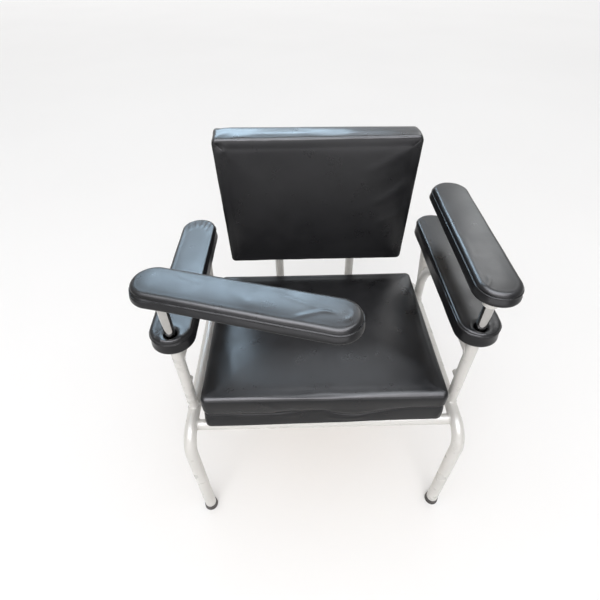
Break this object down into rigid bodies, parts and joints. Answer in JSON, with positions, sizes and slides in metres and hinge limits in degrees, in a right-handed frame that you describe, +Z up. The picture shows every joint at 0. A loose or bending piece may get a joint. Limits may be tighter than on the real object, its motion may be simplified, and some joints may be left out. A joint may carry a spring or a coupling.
{
  "type": "phlebotomy chair",
  "caption": "Padded blood-draw chair on a bent steel tube frame, with fixed armrests and, above them, padded draw arms that slide up and swivel on chromed stems.",
  "frame": {"origin": "on the floor, under the middle of the chair's outer box", "axes": "+Z up; -Y is the way the sitter faces; +X is the sitter's left, so nodes named left are on the -X side, as seen from in front"},
  "size_m": [0.7371, 0.6381, 0.8536],
  "materials": {
    "white_frame": "glossy powder coat on steel tube",
    "chrome_stem": "polished chrome plate on steel tube",
    "zinc_fasteners": "zinc plated",
    "black_vinyl": "soft satin coated fabric with a fine grain",
    "foam": "upholstery foam, inside the covers",
    "plywood": "plain plywood board",
    "nylon": "natural nylon",
    "black_plastic": "moulded plastic",
    "foot_rubber": "moulded rubber"
  },
  "bodies": {
    "chair": {"armrest_plates": "white_frame", "armrest_screws": "zinc_fasteners", "back_board": "plywood", "back_bolts": "zinc_fasteners", "back_cover": "black_vinyl", "back_foam": "foam", "clamp_bosses": "white_frame", "front_cross_rail": "white_frame", "front_left_foot_cap": "foot_rubber", "front_right_foot_cap": "foot_rubber", "guide_bushes": "nylon", "left_arm_tube": "white_frame", "left_armrest_board": "plywood", "left_armrest_cover": "black_vinyl", "left_armrest_foam": "foam", "left_back_upright": "white_frame", "left_front_post": "white_frame", "left_leg_frame": "white_frame", "left_rear_post": "white_frame", "rear_cross_rail": "white_frame", "rear_left_foot_cap": "foot_rubber", "rear_right_foot_cap": "foot_rubber", "right_arm_tube": "white_frame", "right_armrest_board": "plywood", "right_armrest_cover": "black_vinyl", "right_armrest_foam": "foam", "right_back_upright": "white_frame", "right_front_post": "white_frame", "right_leg_frame": "white_frame", "right_rear_post": "white_frame", "seat_board": "plywood", "seat_cover": "black_vinyl", "seat_foam": "foam", "seat_rear_rail": "white_frame", "seat_screws": "zinc_fasteners", "upright_end_plugs": "black_plastic"},
    "left_stem_slide": {"left_stem": "chrome_stem", "left_stem_glide": "nylon", "left_stem_insert": "zinc_fasteners", "left_swivel_screw": "zinc_fasteners", "left_swivel_washer": "nylon"},
    "left_draw_arm": {"left_draw_plate": "white_frame", "left_draw_board": "plywood", "left_draw_foam": "foam", "left_draw_cover": "black_vinyl", "left_draw_screws": "zinc_fasteners"},
    "left_clamp": {"left_clamp_screw": "zinc_fasteners"},
    "right_stem_slide": {"right_stem": "chrome_stem", "right_stem_glide": "nylon", "right_stem_insert": "zinc_fasteners", "right_swivel_screw": "zinc_fasteners", "right_swivel_washer": "nylon"},
    "right_draw_arm": {"right_draw_plate": "white_frame", "right_draw_board": "plywood", "right_draw_foam": "foam", "right_draw_cover": "black_vinyl", "right_draw_screws": "zinc_fasteners"},
    "right_clamp": {"right_clamp_screw": "zinc_fasteners"}
  },
  "joints": [
    {"name": "left_arm_height", "type": "slide", "parent": "chair", "child": "left_stem_slide", "axis": [0, 0, 1], "range_m": [-0.03, 0.06]},
    {"name": "left_arm_swivel", "type": "hinge", "parent": "left_stem_slide", "child": "left_draw_arm", "pos_m": [-0.317, -0.1796, 0.7348], "axis": [0, 0, 1], "range_deg": [-14, 196]},
    {"name": "left_clamp_turn", "type": "hinge", "parent": "chair", "child": "left_clamp", "pos_m": [-0.317, -0.1496, 0.445], "axis": [0, 1, 0], "range_deg": [0, 360]},
    {"name": "right_arm_height", "type": "slide", "parent": "chair", "child": "right_stem_slide", "axis": [0, 0, 1], "range_m": [-0.012, 0.078]},
    {"name": "right_arm_swivel", "type": "hinge", "parent": "right_stem_slide", "child": "right_draw_arm", "pos_m": [0.317, -0.1796, 0.717], "axis": [0, 0, 1], "range_deg": [-90, 80]},
    {"name": "right_clamp_turn", "type": "hinge", "parent": "chair", "child": "right_clamp", "pos_m": [0.317, -0.1496, 0.445], "axis": [0, 1, 0], "range_deg": [0, 360]}
  ]
}
